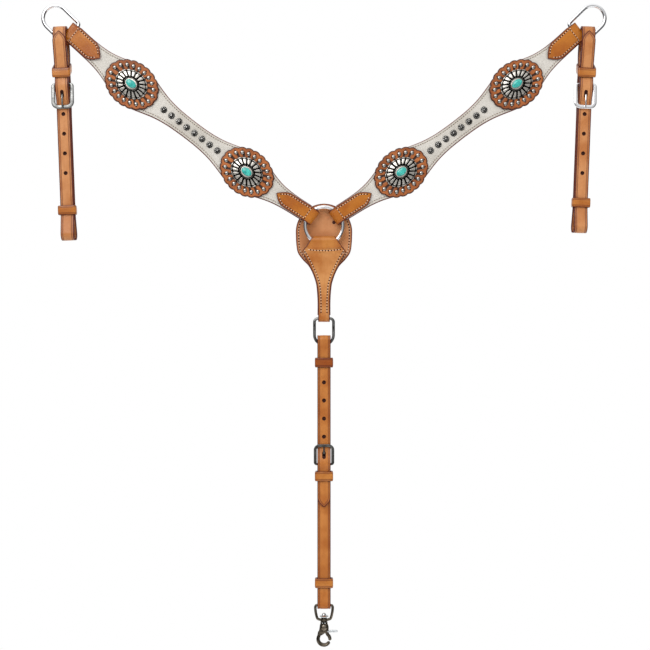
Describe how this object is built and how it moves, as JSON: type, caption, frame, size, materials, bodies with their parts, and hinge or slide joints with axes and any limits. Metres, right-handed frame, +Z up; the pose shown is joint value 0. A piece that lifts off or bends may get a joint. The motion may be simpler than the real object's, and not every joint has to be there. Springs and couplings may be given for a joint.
{
  "type": "western breast collar",
  "caption": "Western breast collar: cowhide-faced leather wings with rosettes, joined by a ring to a shield, a buckled tie-down strap with a swivel snap, and buckled uptugs.",
  "frame": {"origin": "centre of the centre ring, in the plane of the wings", "axes": "+Z up, towards the dee rings; -Y out of the decorated front, away from the horse; +X to the viewer's right"},
  "size_m": [0.6784, 0.0235, 0.7715],
  "materials": {
    "tan_leather": "satin",
    "natural_leather": "matte",
    "dark_leather": "matte",
    "cowhide": "hair",
    "bright_chrome": "polished",
    "antique_silver": "antiqued",
    "gunmetal": "dark antiqued",
    "turquoise": "polished"
  },
  "bodies": {
    "wings": {"left_wing_lining": "dark_leather", "left_wing_cowhide": "cowhide", "left_inner_tab": "tan_leather", "left_outer_tab": "tan_leather", "left_inner_rosette": "tan_leather", "left_outer_rosette": "tan_leather", "left_inner_concho": "antique_silver", "left_outer_concho": "antique_silver", "left_inner_stone": "turquoise", "left_outer_stone": "turquoise", "right_wing_lining": "dark_leather", "right_wing_cowhide": "cowhide", "right_inner_tab": "tan_leather", "right_outer_tab": "tan_leather", "right_inner_rosette": "tan_leather", "right_outer_rosette": "tan_leather", "right_inner_concho": "antique_silver", "right_outer_concho": "antique_silver", "right_inner_stone": "turquoise", "right_outer_stone": "turquoise"},
    "left_dee": {"left_dee_ring": "bright_chrome"},
    "left_tug": {"left_tug_strap": "tan_leather", "left_tug_buckle_frame": "antique_silver", "left_tug_upper_keeper": "tan_leather"},
    "left_tug_tongue": {"left_tug_buckle_tongue": "antique_silver"},
    "left_tug_keeper": {"left_tug_lower_keeper": "tan_leather"},
    "right_dee": {"right_dee_ring": "bright_chrome"},
    "right_tug": {"right_tug_strap": "tan_leather", "right_tug_buckle_frame": "bright_chrome", "right_tug_upper_keeper": "tan_leather"},
    "right_tug_tongue": {"right_tug_buckle_tongue": "bright_chrome"},
    "right_tug_keeper": {"right_tug_lower_keeper": "tan_leather"},
    "ring": {"centre_ring": "bright_chrome"},
    "shield": {"shield_plate": "natural_leather", "shield_overlay": "tan_leather", "shield_ring_loop": "tan_leather"},
    "lower_dee": {"lower_dee": "antique_silver"},
    "tie_down": {"tie_down_upper_strap": "tan_leather", "tie_down_lower_strap": "tan_leather", "tie_down_buckle_frame": "gunmetal", "tie_down_keeper_1": "tan_leather", "tie_down_keeper_2": "tan_leather"},
    "tie_down_tongue": {"tie_down_buckle_tongue": "gunmetal"},
    "tie_down_keeper": {"tie_down_keeper_3": "tan_leather"},
    "eye": {"swivel_eye": "gunmetal"},
    "snap": {"snap_body": "gunmetal", "snap_rivet": "gunmetal", "trigger_spring": "gunmetal"},
    "trigger": {"trigger": "gunmetal"}
  },
  "joints": [
    {"name": "left_dee_hinge", "type": "hinge", "parent": "wings", "child": "left_dee", "pos_m": [-0.30323, 0, 0.231], "axis": [0.6984, 0, 0.7157], "range_deg": [-12, 12]},
    {"name": "left_tug_swing", "type": "hinge", "parent": "left_dee", "child": "left_tug", "pos_m": [-0.316, 0, 0.2317], "axis": [1, 0, 0], "range_deg": [-10, 10]},
    {"name": "left_tug_tongue_hinge", "type": "hinge", "parent": "left_tug", "child": "left_tug_tongue", "pos_m": [-0.31364, -0.00135, 0.17015], "axis": [-0.9993, 0, -0.0384], "range_deg": [0, 3]},
    {"name": "left_tug_keeper_slide", "type": "slide", "parent": "left_tug", "child": "left_tug_keeper", "axis": [-0.0384, 0, 0.9993], "range_m": [0, 0.08]},
    {"name": "right_dee_hinge", "type": "hinge", "parent": "wings", "child": "right_dee", "pos_m": [0.30323, 0, 0.231], "axis": [-0.6984, 0, 0.7157], "range_deg": [-12, 12]},
    {"name": "right_tug_swing", "type": "hinge", "parent": "right_dee", "child": "right_tug", "pos_m": [0.316, 0, 0.2317], "axis": [1, 0, 0], "range_deg": [-10, 10]},
    {"name": "right_tug_tongue_hinge", "type": "hinge", "parent": "right_tug", "child": "right_tug_tongue", "pos_m": [0.31364, -0.00135, 0.17015], "axis": [-0.9993, 0, 0.0384], "range_deg": [0, 3]},
    {"name": "right_tug_keeper_slide", "type": "slide", "parent": "right_tug", "child": "right_tug_keeper", "axis": [0.0384, 0, 0.9993], "range_m": [0, 0.08]},
    {"name": "ring_turn", "type": "hinge", "parent": "wings", "child": "ring", "pos_m": [0, 0, 0], "axis": [0, 1, 0], "range_deg": [-25, 25]},
    {"name": "shield_hinge", "type": "hinge", "parent": "ring", "child": "shield", "pos_m": [0, 0, -0.019], "axis": [-1, 0, 0], "range_deg": [0, 15]},
    {"name": "lower_dee_hinge", "type": "hinge", "parent": "shield", "child": "lower_dee", "pos_m": [0, 0, -0.1113], "axis": [-1, 0, 0], "range_deg": [-25, 25]},
    {"name": "tie_down_swing", "type": "hinge", "parent": "lower_dee", "child": "tie_down", "pos_m": [0, 0, -0.1405], "axis": [-1, 0, 0], "range_deg": [-20, 20]},
    {"name": "tie_down_tongue_hinge", "type": "hinge", "parent": "tie_down", "child": "tie_down_tongue", "pos_m": [0, 0.0005, -0.2862], "axis": [1, 0, 0], "range_deg": [0, 3]},
    {"name": "tie_down_keeper_slide", "type": "slide", "parent": "tie_down", "child": "tie_down_keeper", "axis": [0, 0, 1], "range_m": [0, 0.06]},
    {"name": "eye_swing", "type": "hinge", "parent": "tie_down", "child": "eye", "pos_m": [0, 0, -0.4552], "axis": [-1, 0, 0], "range_deg": [-30, 30]},
    {"name": "snap_swivel", "type": "hinge", "parent": "eye", "child": "snap", "pos_m": [0, 0, -0.472], "axis": [0, 0, 1], "continuous": true},
    {"name": "trigger_hinge", "type": "hinge", "parent": "snap", "child": "trigger", "pos_m": [0, 0, -0.4816], "axis": [0, 1, 0], "range_deg": [0, 16], "stiffness_Nm_per_rad": 0.02, "springref_deg": -11.46}
  ]
}
